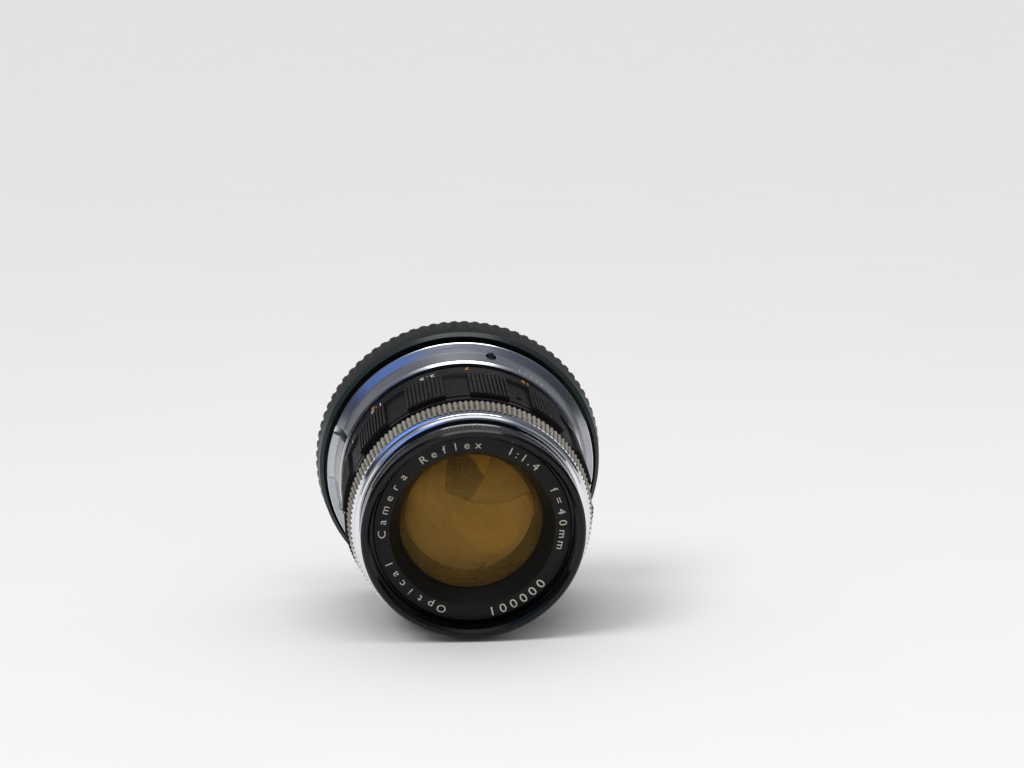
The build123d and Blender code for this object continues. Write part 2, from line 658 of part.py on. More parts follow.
with BuildPart() as base_screws:
    for clock in BASE_SCREW_CLOCKS:
        with BuildSketch(radial_plane(clock, 24.6, BASE_SCREW_Y)):
            Circle(1.0)
        extrude(amount=1.5)
        with BuildSketch(radial_plane(clock, 25.7, BASE_SCREW_Y)):
            Rectangle(0.3, 2.4)
        extrude(amount=1.0, mode=Mode.SUBTRACT)
finish(base_screws.part, "base_screws")

with BuildPart() as bearing_sleeve:
    turn((SLEEVE_BORE_R, SLEEVE_FRONT), (SLEEVE_R, SLEEVE_FRONT), (SLEEVE_R, SLEEVE_REAR),
         (SLEEVE_BORE_R, SLEEVE_REAR))
finish(bearing_sleeve.part, "bearing_sleeve")

with BuildPart() as focus_retaining_ring:
    turn((SLEEVE_BORE_R, -17.3), (24.6, -17.3), (24.6, SLEEVE_FRONT), (SLEEVE_BORE_R, SLEEVE_FRONT))
    for clock in (45.0, 225.0):
        with BuildSketch(radial_plane(clock, 23.4, -17.3)):
            Rectangle(0.8, 1.6)
        extrude(amount=2.0, mode=Mode.SUBTRACT)
finish(focus_retaining_ring.part, "focus_retaining_ring")

with BuildPart() as focus_stop_block:
    # Block inside the sleeve that limits the focus ring's throw.
    pin_room = degrees(STOP_PIN_WIDTH / STOP_PIN_INNER_R) + 0.8
    block_middle = clock_to_angle(0.0) + FOCUS_THROW / 2 + 180.0
    sector(STOP_PIN_INNER_R + 0.3, SLEEVE_BORE_R, block_middle, 360.0 - FOCUS_THROW - pin_room,
           NUT_REAR + 0.1, SLEEVE_REAR)
finish(focus_stop_block.part, "focus_stop_block")

with BuildPart() as preview_lever:
    lever_angle = clock_to_angle(LEVER_CLOCK)
    turn(
        (LEVER_INNER_R, LEVER_FRONT), (26.55, LEVER_FRONT), (27.45, -1.75), (28.95, -0.75),
        (28.95, LEVER_REAR), (LEVER_INNER_R, LEVER_REAR),
    )
    sector(20.0, 32.0, lever_angle + 180.0, 360.0 - LEVER_SPAN, LEVER_FRONT - 1.0, LEVER_REAR + 1.0,
           mode=Mode.SUBTRACT)
    # Serrations along the outer edge.
    teeth = 18
    for tooth in range(teeth):
        angle = lever_angle - LEVER_SPAN / 2 + LEVER_SPAN * (tooth + 0.5) / teeth
        x, z = polar(29.15, angle)
        with BuildSketch(facing_front(LEVER_REAR + 0.5)):
            with Locations((x, z)):
                Circle(0.3)
        extrude(amount=2.5, mode=Mode.SUBTRACT)
finish(preview_lever.part, "preview_lever")

# ---------------------------------------------------------------- bayonet mount
BAYONET_SCREW_R = 22.9
BAYONET_SCREWS = 4
SHELF_FRONT = -3.55
SHELF_REAR = -3.0

with BuildPart() as bayonet_ring:
    turn(
        (BAYONET_BORE_R, BAYONET_REAR), (BAYONET_TUBE_R - 0.3, BAYONET_REAR),
        (BAYONET_TUBE_R, BAYONET_REAR - 0.3), (BAYONET_TUBE_R, 0), (24.5, 0), (24.5, -1.25),
        (BASE_BORE_R - 0.05, -1.25), (BASE_BORE_R - 0.05, SHELF_FRONT), (17.4, SHELF_FRONT),
        (17.4, SHELF_REAR), (BAYONET_BORE_R, SHELF_REAR),
    )
    for lug in range(BAYONET_LUGS):
        sector(BAYONET_TUBE_R - 0.3, BAYONET_LUG_R, 90.0 + 120.0 * lug, BAYONET_LUG_SPAN, 2.2, 4.0)
    with BuildSketch(facing_front(0.1)):
        with PolarLocations(BAYONET_SCREW_R, BAYONET_SCREWS, start_angle=45.0):
            Circle(1.05)
    extrude(amount=0.75, mode=Mode.SUBTRACT)
    # Hole of the camera's lock pin.
    with BuildSketch(facing_front(0.1)):
        with Locations(polar(22.6, 200.0)):
            Circle(0.9)
    extrude(amount=2.0, mode=Mode.SUBTRACT)
finish(bayonet_ring.part, "bayonet_ring")

with BuildPart() as bayonet_screws:
    with BuildSketch(facing_front(-0.1)):
        with PolarLocations(BAYONET_SCREW_R, BAYONET_SCREWS, start_angle=45.0):
            Circle(1.0)
    extrude(amount=0.55)
    with BuildSketch(facing_front(0)):
        with PolarLocations(BAYONET_SCREW_R, BAYONET_SCREWS, start_angle=45.0):
            Rectangle(1.5, 0.28)
            Rectangle(0.28, 1.5)
    extrude(amount=0.4, mode=Mode.SUBTRACT)
finish(bayonet_screws.part, "bayonet_screws")

with BuildPart() as guide_keys:
    for clock in KEY_CLOCKS:
        with BuildSketch(radial_plane(clock, 18.5, (SHELF_FRONT - 15.4) / 2)):
            Rectangle(15.4 + SHELF_FRONT, KEY_WIDTH)
        extrude(amount=1.55)
finish(guide_keys.part, "guide_keys")

STOP_LEVER_CLOCK = 150.0
STOP_LEVER_TRAVEL = 22.0

with BuildPart() as stop_lever:
    # Ring between the bayonet's shelf and the baffle, with a tab that the camera pushes.
    turn((15.3, -2.9), (BAYONET_BORE_R - 0.08, -2.9), (BAYONET_BORE_R - 0.08, -2.1), (15.3, -2.1))
    sector(15.7, 16.9, clock_to_angle(STOP_LEVER_CLOCK), 12.0, -2.5, 3.4)
finish(stop_lever.part, "stop_lever")

with BuildPart() as rear_baffle:
    turn((14.9, -1.95), (BAYONET_BORE_R, -1.95), (BAYONET_BORE_R, -1.25), (14.9, -1.25))
    sector(15.5, 17.1, clock_to_angle(STOP_LEVER_CLOCK - STOP_LEVER_TRAVEL / 2),
           STOP_LEVER_TRAVEL + 14.0, -2.2, -1.0, mode=Mode.SUBTRACT)
finish(rear_baffle.part, "rear_baffle")

# ---------------------------------------------------------------- rear cap
CAP_SEAT_R = 27.2
CAP_BORE_R = 22.75
CAP_FLOOR = 6.6
CAP_GROOVE_R = 0.8
CAP_RIM_BEVEL = 0.7
CAP_LUG_SPAN = 44.0

with BuildPart() as rear_cap:
    turn(
        (0, CAP_FLOOR), (CAP_BORE_R, CAP_FLOOR), (CAP_BORE_R, 0.15), (CAP_SEAT_R, 0.15),
        (CAP_SEAT_R, 3.2), (29.45, 3.2), (29.45, CAP_FRONT + 0.15), (29.6, CAP_FRONT),
        (29.75, CAP_FRONT), (CAP_RIM_R, CAP_FRONT + CAP_RIM_BEVEL), (CAP_R, 7.5), (30.2, CAP_REAR),
        (0, CAP_REAR),
    )
    for lug in range(BAYONET_LUGS):
        sector(20.95, CAP_BORE_R + 0.3, 90.0 + 120.0 * lug, CAP_LUG_SPAN, 0.55, 1.95)
    # Finger grooves around the rim.
    with BuildSketch(facing_front(CAP_REAR + 0.5)):
        with PolarLocations(CAP_R + CAP_GROOVE_R - 0.42, CAP_RIBS):
            Circle(CAP_GROOVE_R)
    extrude(amount=CAP_REAR - CAP_FRONT - CAP_RIM_BEVEL - 0.2, mode=Mode.SUBTRACT)
    # Shallow ring and grip recess on the rear face.
    turn((24.0, CAP_REAR - 0.3), (25.0, CAP_REAR - 0.3), (25.0, CAP_REAR + 0.2), (24.0, CAP_REAR + 0.2),
         mode=Mode.SUBTRACT)
finish(rear_cap.part, "rear_cap")
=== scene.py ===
import math

import bpy
import bmesh
from mathutils import Matrix, Vector


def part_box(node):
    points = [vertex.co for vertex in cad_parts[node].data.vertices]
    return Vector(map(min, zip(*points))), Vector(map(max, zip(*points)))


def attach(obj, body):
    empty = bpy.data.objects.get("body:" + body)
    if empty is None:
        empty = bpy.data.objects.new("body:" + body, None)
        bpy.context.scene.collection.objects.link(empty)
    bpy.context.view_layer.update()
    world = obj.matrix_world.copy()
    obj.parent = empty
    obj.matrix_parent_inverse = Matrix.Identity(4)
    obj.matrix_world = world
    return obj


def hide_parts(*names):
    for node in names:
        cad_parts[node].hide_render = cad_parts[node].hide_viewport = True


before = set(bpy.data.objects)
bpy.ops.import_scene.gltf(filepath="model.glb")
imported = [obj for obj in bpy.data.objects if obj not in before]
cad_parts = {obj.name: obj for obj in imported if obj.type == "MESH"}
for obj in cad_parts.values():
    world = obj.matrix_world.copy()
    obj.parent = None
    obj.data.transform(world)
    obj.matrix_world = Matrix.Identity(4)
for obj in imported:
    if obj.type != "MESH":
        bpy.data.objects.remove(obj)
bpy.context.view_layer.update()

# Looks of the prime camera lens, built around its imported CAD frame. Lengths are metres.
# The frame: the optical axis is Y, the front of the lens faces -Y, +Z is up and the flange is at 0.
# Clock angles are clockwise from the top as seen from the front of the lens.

MM = 0.001

# ---------------------------------------------------------------- surfaces of the CAD nodes
FOCUS_SCALE_RADIUS = 25.9 * MM
BASE_CONE_RADIUS = 26.64 * MM           # of the base ring's front cone, at the strokes
BASE_CONE_SLOPE = math.radians(14.2)
CAP_BEVEL_END = 1.9                     # mm along the axis, where the cap's rim bevel ends
FOCUS_WEAR_RADIUS = 26.25               # mm, just above the ribs of the focus ring

# ---------------------------------------------------------------- view
FOCAL_LENGTH = 87.9            # for a 36 mm wide frame
CAMERA_DISTANCE = 0.5071       # from the camera's plane to the middle of the front edge
CAMERA_OFFSET = (-0.0077, 0.0309)
CAMERA_PITCH = math.radians(9.9)
LENS_YAW = math.radians(5.22)

# ---------------------------------------------------------------- light
KEY_STRENGTH = 0.95
KEY_WIDTH = math.radians(24.0)
KEY_ASIDE, KEY_DOWN, KEY_AHEAD = 0.58, 0.95, 0.62
SOFTBOX_POWER = 0.5
SOFTBOX_SIZE = (0.40, 0.14)
SOFTBOX_DISTANCE = 0.55
FLOOR_HALF_WIDTH = 14.0


# ---------------------------------------------------------------- small helpers
def clock_direction(clock):
    """Unit vector outward from the axis at a clock angle."""
    return Vector((math.sin(clock), 0.0, math.cos(clock)))


def node_radius(name):
    """Largest radius of a CAD node about the optical axis."""
    return max(math.hypot(v.co.x, v.co.z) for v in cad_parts[name].data.vertices)


def resting_tilt(front_node, rear_node):
    """Angle by which the lens leans on its front when two of its nodes touch a flat floor."""
    low, high = 0.0, math.radians(30.0)
    for _ in range(40):
        tilt = (low + high) / 2
        up = Vector((0.0, math.sin(tilt), math.cos(tilt)))
        front_low = min(v.co.dot(up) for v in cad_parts[front_node].data.vertices)
        rear_low = min(v.co.dot(up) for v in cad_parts[rear_node].data.vertices)
        if rear_low < front_low:
            low = tilt
        else:
            high = tilt
    return tilt, up, min(front_low, rear_low)


TILT, UP, FLOOR_HEIGHT = resting_tilt("aperture_ring", "rear_cap")


def link(obj):
    """Put an object in the scene and return it."""
    bpy.context.scene.collection.objects.link(obj)
    return obj


def smooth(mesh):
    """Shade every face of a mesh smooth."""
    mesh.polygons.foreach_set("use_smooth", [True] * len(mesh.polygons))


# ---------------------------------------------------------------- node tree helpers
class Nodes:
    """Short calls for the nodes of one material or world."""

    def __init__(self, tree):
        self.tree = tree

    def node(self, kind, **values):
        made = self.tree.nodes.new(kind)
        for key, value in values.items():
            setattr(made, key, value)
        return made

    def join(self, source, target):
        self.tree.links.new(source, target)

    def feed(self, source, socket):
        """Put a number, a colour or a link on a socket."""
        if isinstance(source, (int, float)):
            socket.default_value = source
        elif isinstance(source, tuple):
            socket.default_value = (*source, 1.0)
        else:
            self.join(source, socket)

    def maths(self, operation, first, second=0.0):
        made = self.node("ShaderNodeMath", operation=operation)
        self.feed(first, made.inputs[0])
        self.feed(second, made.inputs[1])
        return made.outputs[0]

    def ramp(self, source, low, high, start=0.0, end=1.0):
        """Map source from low..high to start..end, held at both ends."""
        made = self.node("ShaderNodeMapRange")
        for socket, value in zip(("From Min", "From Max", "To Min", "To Max"), (low, high, start, end)):
            made.inputs[socket].default_value = value
        self.join(source, made.inputs["Value"])
        return made.outputs["Result"]

    def band(self, source, middle, half_width):
        """1 near the middle value, falling to 0 at half_width away."""
        away = self.maths("ABSOLUTE", self.maths("SUBTRACT", source, middle))
        return self.ramp(away, half_width * 0.6, half_width, 1.0, 0.0)

    def blend(self, factor, first, second):
        """Mix two colours, given as tuples or links."""
        made = self.node("ShaderNodeMix", data_type="RGBA")
        self.feed(factor, made.inputs[0])
        self.feed(first, made.inputs[6])
        self.feed(second, made.inputs[7])
        return made.outputs[2]


class Shader(Nodes):
    """A Principled material and the procedural nodes that feed it."""

    def __init__(self, name, colour, roughness, metallic=0.0, specular=0.5):
        self.material = bpy.data.materials.new(name)
        self.material.use_nodes = True
        super().__init__(self.material.node_tree)
        self.bsdf = self.tree.nodes["Principled BSDF"]
        self.output = self.tree.nodes["Material Output"]
        self.bsdf.inputs["Base Color"].default_value = (*colour, 1.0)
        self.bsdf.inputs["Roughness"].default_value = roughness
        self.bsdf.inputs["Metallic"].default_value = metallic
        self.bsdf.inputs["Specular IOR Level"].default_value = specular
        self.object_space = None

    def position(self):
        """Position in the frame, in millimetres, split into X, Y and Z."""
        if self.object_space is None:
            coordinates = self.node("ShaderNodeTexCoord")
            scaled = self.node("ShaderNodeVectorMath", operation="SCALE")
            scaled.inputs["Scale"].default_value = 1.0 / MM
            self.join(coordinates.outputs["Object"], scaled.inputs[0])
            split = self.node("ShaderNodeSeparateXYZ")
            self.join(scaled.outputs[0], split.inputs[0])
            self.object_space = (scaled.outputs[0], split.outputs[0], split.outputs[1], split.outputs[2])
        return self.object_space

    def radius(self):
        """Distance from the optical axis, in millimetres."""
        _, x, _, z = self.position()
        squares = self.maths("ADD", self.maths("MULTIPLY", x, x), self.maths("MULTIPLY", z, z))
        return self.maths("SQRT", squares)

    def turned_vector(self, around):
        """Coordinates whose noise is drawn out around the axis, like the marks of a lathe tool."""
        _, x, y, z = self.position()
        combine = self.node("ShaderNodeCombineXYZ")
        self.join(self.radius(), combine.inputs[0])
        self.join(y, combine.inputs[1])
        self.join(self.maths("MULTIPLY", self.maths("ARCTAN2", x, z), around), combine.inputs[2])
        return combine.outputs[0]

    def noise(self, scale, detail, vector=None):
        made = self.node("ShaderNodeTexNoise")
        made.inputs["Scale"].default_value = scale
        made.inputs["Detail"].default_value = detail
        made.inputs["Roughness"].default_value = 0.55
        self.join(vector if vector is not None else self.position()[0], made.inputs["Vector"])
        return made.outputs["Fac"]

    def mix_shaders(self, factor, first, second):
        made = self.node("ShaderNodeMixShader")
        self.feed(factor, made.inputs[0])
        self.join(first, made.inputs[1])
        self.join(second, made.inputs[2])
        return made.outputs[0]

    def colour(self, source):
        self.join(source, self.bsdf.inputs["Base Color"])

    def roughness(self, source):
        self.join(source, self.bsdf.inputs["Roughness"])

    def bump(self, *layers):
        """Stack bump layers, each (height, depth in millimetres, strength)."""
        previous = None
        for height, depth, strength in layers:
            made = self.node("ShaderNodeBump")
            made.inputs["Distance"].default_value = depth * MM
            made.inputs["Strength"].default_value = strength
            self.join(height, made.inputs["Height"])
            if previous is not None:
                self.join(previous, made.inputs["Normal"])
            previous = made.outputs["Normal"]
        self.join(previous, self.bsdf.inputs["Normal"])


# ---------------------------------------------------------------- materials
def darker(colour, share):
    """The colour times a share, which may be above 1."""
    return tuple(c * share for c in colour)


def satin_chrome(name, colour, roughness, polished_edges_painted_bright=()):
    """Fine-turned satin chrome; the last argument gives (y, half width) of polished edges, smoother and
    with a painted highlight: their colour is raised towards white.
    """
    shader = Shader(name, colour, roughness, metallic=1.0)
    turned = shader.noise(9.0, 4.0, shader.turned_vector(0.4))
    patches = shader.noise(0.12, 4.0)
    stain = shader.noise(0.7, 5.0)
    shade = shader.blend(shader.ramp(patches, 0.35, 0.7), colour, darker(colour, 0.86))
    shade = shader.blend(shader.ramp(stain, 0.58, 0.72, 0.0, 0.35), shade, darker(colour, 0.7))
    rough = shader.ramp(turned, 0.3, 0.7, roughness * 0.8, roughness * 1.3)
    for y, half_width in polished_edges_painted_bright:
        _, _, along, _ = shader.position()
        edge = shader.band(along, y / MM, half_width / MM)
        rough = shader.maths("MULTIPLY", rough, shader.ramp(edge, 0.0, 1.0, 1.0, 0.5))
        # painted highlight: the edge's colour is raised towards white, on top of its real polish
        shade = shader.blend(edge, shade, (0.88, 0.88, 0.89))
    shader.colour(shade)
    shader.roughness(rough)
    shader.bump((turned, 0.004, 0.5), (stain, 0.006, 0.12))
    return shader.material


def polished_chrome(name):
    """Mirror chrome with a faint haze and turned hairlines."""
    colour = (0.84, 0.85, 0.88)
    shader = Shader(name, colour, 0.06, metallic=1.0)
    haze = shader.noise(0.6, 5.0)
    hairlines = shader.noise(14.0, 2.0, shader.turned_vector(0.6))
    shader.roughness(shader.ramp(haze, 0.4, 0.75, 0.045, 0.14))
    shader.colour(shader.blend(shader.ramp(haze, 0.5, 0.8, 0.0, 0.3), colour, darker(colour, 0.85)))
    shader.bump((hairlines, 0.0015, 0.35))
    return shader.material


def knurled_chrome(name):
    """Chrome teeth with old grime between them and a polished bevel in front."""
    shader = Shader(name, (0.74, 0.73, 0.70), 0.25, metallic=1.0)
    _, _, y, _ = shader.position()
    outer = node_radius("aperture_ring") / MM
    front, rear = (corner.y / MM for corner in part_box("aperture_ring"))
    narrowing = shader.ramp(y, front, rear, 0.6, 0.0)
    depth = shader.maths("SUBTRACT", outer, shader.maths("ADD", shader.radius(), narrowing))
    settled = shader.ramp(shader.noise(0.9, 4.0), 0.3, 0.6, 0.5, 1.0)
    on_teeth = shader.ramp(y, front + 0.35, front + 0.6)
    grime = shader.maths("MULTIPLY", shader.ramp(depth, 0.10, 0.36), settled)
    grime = shader.maths("MULTIPLY", grime, on_teeth)
    metal = shader.blend(on_teeth, (0.80, 0.81, 0.83), (0.82, 0.77, 0.69))
    shader.colour(shader.blend(grime, metal, (0.20, 0.17, 0.12)))
    uneven = shader.ramp(shader.noise(2.0, 4.0), 0.3, 0.7, -0.03, 0.06)
    rough = shader.maths("ADD", shader.ramp(grime, 0.0, 1.0, 0.30, 0.55), uneven)
    shader.roughness(shader.maths("MULTIPLY", rough, shader.ramp(on_teeth, 0.0, 1.0, 0.3, 1.0)))
    shader.bump((shader.noise(6.0, 3.0), 0.01, 0.25))
    return shader.material


def black_enamel(name, shade, roughness, grain, specular, wear=None, tint=(1.0, 1.0, 1.04)):
    """Baked black enamel; wear is (radius, depth) in millimetres of edges rubbed towards grey."""
    base = tuple(shade * t for t in tint)
    shader = Shader(name, base, roughness, specular=specular)
    cloud = shader.noise(0.25, 4.0)
    fine = shader.noise(12.0, 2.0)
    dust = shader.noise(2.2, 3.0)
    colour = shader.blend(shader.ramp(cloud, 0.35, 0.7), base, darker(base, 1.5))
    if wear is not None:
        radius, depth = wear
        rubbed = shader.ramp(shader.radius(), radius - depth, radius)
        patchy = shader.ramp(shader.noise(0.8, 5.0), 0.40, 0.66, 0.1, 0.7)
        rubbed = shader.maths("MULTIPLY", rubbed, patchy)
        colour = shader.blend(rubbed, colour, (0.075, 0.072, 0.066))
    speck = shader.ramp(dust, 0.72, 0.75, 0.0, 0.7)
    shader.colour(shader.blend(speck, colour, (0.24, 0.24, 0.22)))
    uneven = shader.noise(0.5, 5.0)
    shader.roughness(shader.ramp(uneven, 0.3, 0.7, roughness * 0.85, roughness * 1.2))
    shader.bump((fine, 0.012, grain), (cloud, 0.02, 0.05))
    return shader.material


def turned_black(name, shade, roughness, specular, ring_depth=0.5):
    """Black anodised aluminium that still shows the rings of the lathe tool."""
    base = (shade, shade, shade * 1.05)
    shader = Shader(name, base, roughness, specular=specular)
    rings = shader.noise(7.0, 3.0, shader.turned_vector(0.2))
    shader.colour(shader.blend(shader.ramp(rings, 0.35, 0.65), base, darker(base, 1.9)))
    uneven = shader.noise(0.6, 4.0)
    shader.roughness(shader.ramp(uneven, 0.3, 0.7, roughness * 0.85, roughness * 1.25))
    shader.bump((rings, 0.01, ring_depth))
    return shader.material


def plain_metal(name, colour, roughness):
    """Turned brass, steel or aluminium with oil in its corners."""
    shader = Shader(name, colour, roughness, metallic=1.0)
    marks = shader.noise(6.0, 3.0, shader.turned_vector(0.6))
    oil = shader.noise(0.5, 5.0)
    oiled = shader.ramp(oil, 0.5, 0.75, 0.0, 0.6)
    shader.colour(shader.blend(oiled, colour, (0.05, 0.045, 0.035)))
    shader.roughness(shader.ramp(marks, 0.3, 0.7, roughness * 0.7, roughness * 1.3))
    shader.bump((marks, 0.008, 0.4))
    return shader.material


def blade_steel(name, shade):
    """Thin iris steel, greyish tan times shade, with arcs rubbed by the neighbouring blades. The shade
    makes each blade a lit or shaded copy of the same steel: painted light and shade.
    """
    colour = darker((0.50, 0.44, 0.36), shade)
    shader = Shader(name, colour, 0.42, metallic=0.6)
    arcs = shader.noise(2.2, 3.0, shader.turned_vector(0.6))
    oil = shader.noise(0.25, 5.0)
    rubbed = shader.blend(shader.ramp(arcs, 0.35, 0.7), colour, darker(colour, 1.25))
    shader.colour(shader.blend(shader.ramp(oil, 0.52, 0.7, 0.0, 0.4), rubbed, darker(colour, 0.5)))
    shader.roughness(shader.ramp(oil, 0.3, 0.7, 0.34, 0.55))
    shader.bump((arcs, 0.004, 0.4))
    return shader.material


def cap_plastic(name):
    """Moulded black plastic, dusty in the grooves, rubbed grey on the ribs, glossy on the rim, with a
    painted greenish reflection on the rim's front face.
    """
    shader = Shader(name, (0.018, 0.019, 0.018), 0.42, specular=0.4)
    _, _, y, _ = shader.position()
    outer = node_radius("rear_cap") / MM
    patchy = shader.ramp(shader.noise(0.7, 5.0), 0.38, 0.62, 0.25, 1.0)
    rubbed = shader.maths("MULTIPLY", shader.ramp(shader.radius(), outer - 0.75, outer - 0.1), patchy)
    colour = shader.blend(rubbed, (0.009, 0.010, 0.009), (0.040, 0.040, 0.036))
    speck = shader.ramp(shader.noise(4.0, 4.0), 0.66, 0.74, 0.0, 0.5)
    colour = shader.blend(speck, colour, (0.10, 0.10, 0.09))
    # painted reflection: the rim's front face is given a lighter greenish colour, besides its real gloss.
    at_front = shader.ramp(y, CAP_BEVEL_END, CAP_BEVEL_END + 0.15, 1.0, 0.0)
    rim = shader.maths("MULTIPLY", at_front, shader.ramp(shader.radius(), outer - 1.8, outer - 1.6))
    shader.colour(shader.blend(rim, colour, (0.022, 0.034, 0.036)))
    worn = shader.ramp(rubbed, 0.0, 1.0, 0.36, 0.5)
    shader.roughness(shader.maths("SUBTRACT", worn, shader.maths("MULTIPLY", rim, 0.14)))
    shader.bump((shader.noise(9.0, 3.0), 0.02, 0.08), (shader.noise(0.5, 4.0), 0.05, 0.10))
    return shader.material


def optical_glass(name, tint, ior, coating, haze=0.0):
    """Coated glass that bends what is seen through it and lets the lamps light what is behind it.

    The coating tints and weakens its reflections, and the haze is a thin film of dust on it.
    """
    shader = Shader(name, tint, 0.0)
    shader.bsdf.inputs["Transmission Weight"].default_value = 1.0
    shader.bsdf.inputs["Specular Tint"].default_value = (*coating, 1.0)
    shader.bsdf.inputs["IOR"].default_value = ior
    smears = shader.noise(0.18, 5.0)
    dust = shader.noise(3.5, 4.0)
    smeared = shader.ramp(smears, 0.5, 0.8, 0.0, 0.01)
    shader.roughness(shader.maths("ADD", smeared, shader.ramp(dust, 0.72, 0.8, 0.0, 0.03)))
    surface = shader.bsdf.outputs[0]
    if haze > 0.0:
        film = shader.node("ShaderNodeBsdfDiffuse")
        film.inputs["Color"].default_value = (0.62, 0.42, 0.14, 1.0)
        amount = shader.maths("ADD", shader.ramp(smears, 0.3, 0.75, haze * 0.7, haze * 1.3),
                              shader.ramp(dust, 0.70, 0.76, 0.0, 0.2))
        surface = shader.mix_shaders(amount, surface, film.outputs[0])
    clear = shader.node("ShaderNodeBsdfTransparent")
    clear.inputs["Color"].default_value = (*tint, 1.0)
    path = shader.node("ShaderNodeLightPath")
    lighting = shader.maths("MAXIMUM", path.outputs["Is Shadow Ray"], path.outputs["Is Diffuse Ray"])
    surface = shader.mix_shaders(lighting, surface, clear.outputs[0])
    shader.join(surface, shader.output.inputs["Surface"])
    return shader.material


def ink(name, colour, roughness):
    """Paint rubbed into engraved figures."""
    shader = Shader(name, colour, roughness)
    chips = shader.noise(3.0, 4.0)
    chipped = shader.ramp(chips, 0.6, 0.75, 0.0, 0.5)
    shader.colour(shader.blend(chipped, colour, darker(colour, 0.45)))
    shader.roughness(shader.ramp(chips, 0.3, 0.7, roughness * 0.8, roughness * 1.2))
    shader.bump((chips, 0.01, 0.3))
    return shader.material


def paint_nodes():
    """Give every CAD node its material."""
    base_front, base_rear = (corner.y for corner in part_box("base_ring"))
    # The base ring's front and rear edges are polished, with a painted highlight along each.
    base = satin_chrome("base_chrome", (0.50, 0.51, 0.545), 0.22,
                        [(base_front + 0.42 * MM, 0.14 * MM), (base_rear - 0.35 * MM, 0.26 * MM)])
    black = turned_black("inside_black", 0.004, 0.5, 0.2, 0.12)
    finishes = {
        base: ["base_ring"],
        satin_chrome("lever_chrome", (0.62, 0.63, 0.64), 0.34): ["preview_lever"],
        satin_chrome("mount_chrome", (0.68, 0.68, 0.69), 0.2): ["bayonet_ring", "stop_lever"],
        polished_chrome("lip_chrome"): ["lip_ring"],
        knurled_chrome("knurl_chrome"): ["aperture_ring"],
        black_enamel("focus_enamel", 0.007, 0.40, 0.3, 0.22, wear=(FOCUS_WEAR_RADIUS, 0.2)): ["focus_ring"],
        black_enamel("front_enamel", 0.003, 0.12, 0.05, 0.4, tint=(1.0, 1.0, 1.12)): ["filter_ring"],
        black_enamel("barrel_enamel", 0.003, 0.13, 0.05, 0.25, tint=(1.0, 1.0, 1.25)): ["barrel_ring"],
        turned_black("name_ring_black", 0.006, 0.36, 0.28): ["name_ring"],
        black: ["front_cell", "rear_cell", "rear_baffle", "element_2_retainer", "doublet_retainer",
                "rear_retainer", "rear_spacer", "iris_retainer"],
        turned_black("barrel_black", 0.008, 0.33, 0.4): ["main_barrel"],
        plain_metal("greased_brass", (0.55, 0.38, 0.15), 0.32): ["helicoid_nut", "guide_keys"],
        plain_metal("machined_alloy", (0.55, 0.55, 0.56), 0.34): [
            "bearing_sleeve", "focus_retaining_ring", "focus_stop_block", "iris_cam"],
        plain_metal("screw_steel", (0.42, 0.33, 0.24), 0.3): ["base_screws"],
        plain_metal("turned_steel", (0.34, 0.33, 0.31), 0.3): [
            "bayonet_screws", "focus_grub_screws", "focus_stop_pin", "aperture_fork", "click_ball",
            "click_spring"],
        cap_plastic("cap_plastic"): ["rear_cap"],
    }
    # Each blade gets its own shade of the same steel: painted light and shade, as each blade catches the
    # light differently.
    for blade, shade in enumerate((0.62, 0.78, 0.55, 0.84, 0.68), 1):
        finishes[blade_steel(f"blade_steel_{blade}", shade)] = [f"iris_blade_{blade}"]
    for material, names in finishes.items():
        for node_name in names:
            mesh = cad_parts[node_name].data
            mesh.materials.clear()
            mesh.materials.append(material)


# ---------------------------------------------------------------- glass
GLASS_RINGS = 40
GLASS_STEPS = 144
GLASS_CLEARANCE = 0.004 * MM


def face_profile(points, edge, front):
    """Half section of a lens face from its axis outward, read from the CAD node's own points.

    The face is spherical out to its reach, and flat from there to the edge radius.
    """
    tolerance = 1e-6
    ends = [y for radius, y in points if radius > edge - tolerance]
    poles = [y for radius, y in points if radius < tolerance]
    rim_y, vertex_y = (min(ends), min(poles)) if front else (max(ends), max(poles))
    reach = min(radius for radius, y in points if abs(y - rim_y) < tolerance)
    depth = rim_y - vertex_y
    sphere = (reach * reach + depth * depth) / (2.0 * depth)
    profile = []
    for ring in range(GLASS_RINGS + 1):
        radius = reach * ring / GLASS_RINGS
        rise = abs(sphere) - math.sqrt(sphere * sphere - radius * radius)
        profile.append((radius, vertex_y + math.copysign(rise, sphere)))
    if reach < edge - tolerance:
        profile.append((edge, rim_y))
    return profile


def turned_faces(profile):
    """Vertices and outward faces of a profile turned around the axis, from pole to pole.

    Each face comes with the index of the profile step that it lies on.
    """
    vertices, rings, faces = [], [], []
    for radius, y in profile:
        count = 1 if radius == 0.0 else GLASS_STEPS
        rings.append(range(len(vertices), len(vertices) + count))
        for step in range(count):
            clock = 2.0 * math.pi * step / GLASS_STEPS
            vertices.append((radius * math.sin(clock), y, radius * math.cos(clock)))
    for index, (first, second) in enumerate(zip(rings, rings[1:])):
        for step in range(GLASS_STEPS):
            after = (step + 1) % GLASS_STEPS
            if len(first) == 1:
                corners = (second[after], second[step], first[0])
            elif len(second) == 1:
                corners = (first[after], second[0], first[step])
            else:
                corners = (first[after], second[after], second[step], first[step])
            faces.append((index, corners))
    return vertices, faces


